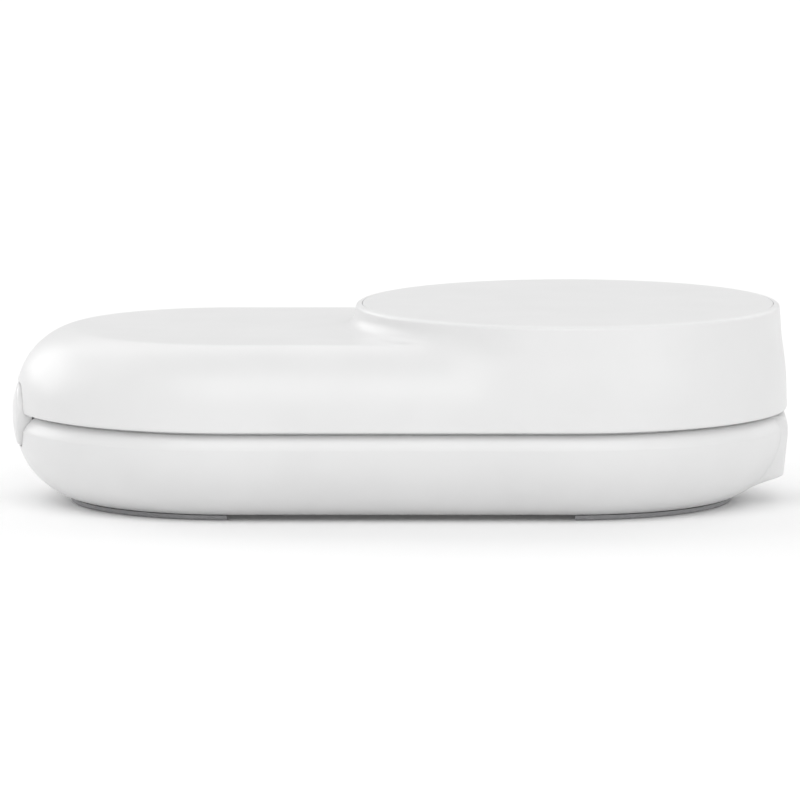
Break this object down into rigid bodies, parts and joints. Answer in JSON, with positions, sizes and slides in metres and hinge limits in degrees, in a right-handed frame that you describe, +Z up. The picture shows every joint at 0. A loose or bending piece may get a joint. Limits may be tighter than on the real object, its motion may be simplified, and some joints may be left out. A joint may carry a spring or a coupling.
{
  "type": "cordless phone with charging base",
  "caption": "Cordless telephone handset with a round drum at its ear end, lying face down on a charging base with a rear socket block.",
  "frame": {"origin": "on the table, under the middle of the object's outline", "axes": "+X along the object towards the drum and the socket block, +Z up, +Y to the left of +X seen from above"},
  "size_m": [0.1599, 0.0906, 0.0408],
  "materials": {
    "base_shell": "satin white",
    "cradle_deck": "satin white",
    "locator_button": "satin white",
    "handset_back": "satin white",
    "battery_cover": "satin white",
    "front_plate": "satin white",
    "front_foot": "matte",
    "rear_foot": "matte",
    "key_1": "satin",
    "key_2": "satin",
    "key_3": "satin",
    "key_4": "satin",
    "key_5": "satin",
    "key_6": "satin",
    "key_7": "satin",
    "key_8": "satin",
    "key_9": "satin",
    "key_star": "satin",
    "key_0": "satin",
    "key_hash": "satin",
    "talk_key": "satin",
    "end_key": "satin",
    "navigation_key": "satin",
    "battery_tray": "matte black",
    "display_module": "matte black",
    "line_socket": "matte black",
    "charge_contact_block": "matte black",
    "locator_switch": "matte black",
    "earpiece": "matte black",
    "base_board": "solder mask",
    "handset_board": "solder mask",
    "ballast_plate": "tinned",
    "base_radio_shield": "tinned",
    "handset_radio_shield": "tinned",
    "microphone": "tinned",
    "base_screw_1": "zinc plated",
    "base_screw_2": "zinc plated",
    "base_screw_3": "zinc plated",
    "base_screw_4": "zinc plated",
    "handset_screw_1": "zinc plated",
    "handset_screw_2": "zinc plated",
    "handset_screw_3": "zinc plated",
    "handset_screw_4": "zinc plated",
    "charge_pin_left": "gold plated",
    "charge_pin_right": "gold plated",
    "charge_pad_left": "gold plated",
    "charge_pad_right": "gold plated",
    "keypad_mat": "silicone",
    "battery_cell_1": "printed sleeve",
    "battery_cell_2": "printed sleeve",
    "battery_cell_3": "printed sleeve",
    "display_window": "clear"
  },
  "bodies": {
    "base": {"base_shell": "base_shell", "cradle_deck": "cradle_deck", "front_foot": "front_foot", "rear_foot": "rear_foot", "ballast_plate": "ballast_plate", "base_board": "base_board", "base_radio_shield": "base_radio_shield", "line_socket": "line_socket", "charge_contact_block": "charge_contact_block", "locator_switch": "locator_switch", "base_screw_1": "base_screw_1", "base_screw_2": "base_screw_2", "base_screw_3": "base_screw_3", "base_screw_4": "base_screw_4"},
    "handset": {"handset_back": "handset_back", "front_plate": "front_plate", "display_window": "display_window", "display_module": "display_module", "handset_board": "handset_board", "handset_radio_shield": "handset_radio_shield", "keypad_mat": "keypad_mat", "earpiece": "earpiece", "microphone": "microphone", "battery_tray": "battery_tray", "battery_cell_1": "battery_cell_1", "battery_cell_2": "battery_cell_2", "battery_cell_3": "battery_cell_3", "charge_pad_left": "charge_pad_left", "charge_pad_right": "charge_pad_right", "handset_screw_1": "handset_screw_1", "handset_screw_2": "handset_screw_2", "handset_screw_3": "handset_screw_3", "handset_screw_4": "handset_screw_4"},
    "locator_button": {"locator_button": "locator_button"},
    "charge_pin_left": {"charge_pin_left": "charge_pin_left"},
    "charge_pin_right": {"charge_pin_right": "charge_pin_right"},
    "battery_cover": {"battery_cover": "battery_cover"},
    "key_1": {"key_1": "key_1"},
    "key_2": {"key_2": "key_2"},
    "key_3": {"key_3": "key_3"},
    "key_4": {"key_4": "key_4"},
    "key_5": {"key_5": "key_5"},
    "key_6": {"key_6": "key_6"},
    "key_7": {"key_7": "key_7"},
    "key_8": {"key_8": "key_8"},
    "key_9": {"key_9": "key_9"},
    "key_star": {"key_star": "key_star"},
    "key_0": {"key_0": "key_0"},
    "key_hash": {"key_hash": "key_hash"},
    "talk_key": {"talk_key": "talk_key"},
    "end_key": {"end_key": "end_key"},
    "navigation_key": {"navigation_key": "navigation_key"}
  },
  "joints": [
    {"name": "handset_lift", "type": "slide", "parent": "base", "child": "handset", "axis": [0, 0, 1], "range_m": [0, 0.06]},
    {"name": "cover_lift", "type": "slide", "parent": "handset", "child": "battery_cover", "axis": [0, 0, 1], "range_m": [0, 0.02]},
    {"name": "locator_press", "type": "slide", "parent": "base", "child": "locator_button", "axis": [1, 0, 0], "range_m": [0, 0.0008], "stiffness_N_per_m": 400, "springref_m": -0.001},
    {"name": "pin_left_press", "type": "slide", "parent": "base", "child": "charge_pin_left", "axis": [0, 0, -1], "range_m": [0, 0.0008], "stiffness_N_per_m": 300, "springref_m": -0.001},
    {"name": "pin_right_press", "type": "slide", "parent": "base", "child": "charge_pin_right", "axis": [0, 0, -1], "range_m": [0, 0.0008], "stiffness_N_per_m": 300, "springref_m": -0.001},
    {"name": "key_1_press", "type": "slide", "parent": "handset", "child": "key_1", "axis": [0, 0, 1], "range_m": [0, 0.0007], "stiffness_N_per_m": 300, "springref_m": -0.001},
    {"name": "key_2_press", "type": "slide", "parent": "handset", "child": "key_2", "axis": [0, 0, 1], "range_m": [0, 0.0007], "stiffness_N_per_m": 300, "springref_m": -0.001},
    {"name": "key_3_press", "type": "slide", "parent": "handset", "child": "key_3", "axis": [0, 0, 1], "range_m": [0, 0.0007], "stiffness_N_per_m": 300, "springref_m": -0.001},
    {"name": "key_4_press", "type": "slide", "parent": "handset", "child": "key_4", "axis": [0, 0, 1], "range_m": [0, 0.0007], "stiffness_N_per_m": 300, "springref_m": -0.001},
    {"name": "key_5_press", "type": "slide", "parent": "handset", "child": "key_5", "axis": [0, 0, 1], "range_m": [0, 0.0007], "stiffness_N_per_m": 300, "springref_m": -0.001},
    {"name": "key_6_press", "type": "slide", "parent": "handset", "child": "key_6", "axis": [0, 0, 1], "range_m": [0, 0.0007], "stiffness_N_per_m": 300, "springref_m": -0.001},
    {"name": "key_7_press", "type": "slide", "parent": "handset", "child": "key_7", "axis": [0, 0, 1], "range_m": [0, 0.0007], "stiffness_N_per_m": 300, "springref_m": -0.001},
    {"name": "key_8_press", "type": "slide", "parent": "handset", "child": "key_8", "axis": [0, 0, 1], "range_m": [0, 0.0007], "stiffness_N_per_m": 300, "springref_m": -0.001},
    {"name": "key_9_press", "type": "slide", "parent": "handset", "child": "key_9", "axis": [0, 0, 1], "range_m": [0, 0.0007], "stiffness_N_per_m": 300, "springref_m": -0.001},
    {"name": "key_star_press", "type": "slide", "parent": "handset", "child": "key_star", "axis": [0, 0, 1], "range_m": [0, 0.0007], "stiffness_N_per_m": 300, "springref_m": -0.001},
    {"name": "key_0_press", "type": "slide", "parent": "handset", "child": "key_0", "axis": [0, 0, 1], "range_m": [0, 0.0007], "stiffness_N_per_m": 300, "springref_m": -0.001},
    {"name": "key_hash_press", "type": "slide", "parent": "handset", "child": "key_hash", "axis": [0, 0, 1], "range_m": [0, 0.0007], "stiffness_N_per_m": 300, "springref_m": -0.001},
    {"name": "talk_key_press", "type": "slide", "parent": "handset", "child": "talk_key", "axis": [0, 0, 1], "range_m": [0, 0.0007], "stiffness_N_per_m": 300, "springref_m": -0.001},
    {"name": "end_key_press", "type": "slide", "parent": "handset", "child": "end_key", "axis": [0, 0, 1], "range_m": [0, 0.0007], "stiffness_N_per_m": 300, "springref_m": -0.001},
    {"name": "navigation_key_press", "type": "slide", "parent": "handset", "child": "navigation_key", "axis": [0, 0, 1], "range_m": [0, 0.0007], "stiffness_N_per_m": 300, "springref_m": -0.001}
  ]
}
